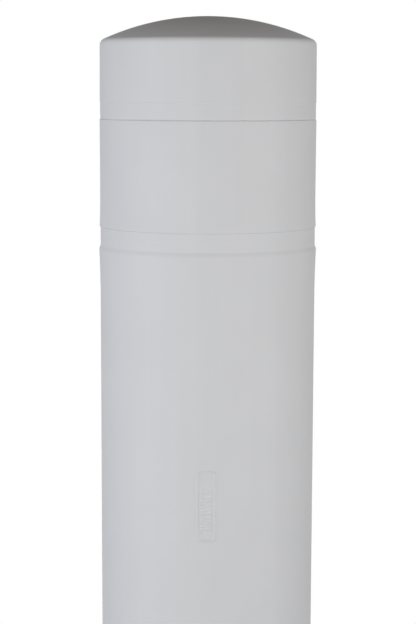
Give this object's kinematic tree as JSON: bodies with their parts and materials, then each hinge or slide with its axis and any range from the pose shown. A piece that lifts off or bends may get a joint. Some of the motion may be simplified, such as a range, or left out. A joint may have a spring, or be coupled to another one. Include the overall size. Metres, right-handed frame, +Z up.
{
  "type": "bollard cover sleeve",
  "caption": "Tall plastic sleeve with a domed push-fit cap that slides over a steel pipe bollard, with shallow bands for reflective tape and foam fit strips inside.",
  "frame": {"origin": "on the sleeve's axis at its bottom edge, at ground level", "axes": "+Z up along the sleeve, -Y towards the side with the panel frame, +X to the right of that side"},
  "size_m": [0.2957, 0.2958, 1.321],
  "materials": {
    "sleeve_plastic": "matte",
    "foam": "matte"
  },
  "bodies": {
    "sleeve": {"sleeve_tube": "sleeve_plastic", "foam_bottom_left": "foam", "foam_bottom_front": "foam", "foam_bottom_right": "foam", "foam_middle_left": "foam", "foam_middle_front": "foam", "foam_middle_right": "foam", "foam_top_left": "foam", "foam_top_front": "foam", "foam_top_right": "foam"},
    "cap": {"dome_cap": "sleeve_plastic"}
  },
  "joints": [
    {"name": "cap_lift", "type": "slide", "parent": "sleeve", "child": "cap", "axis": [0, 0, 1], "range_m": [0, 0.12]}
  ]
}
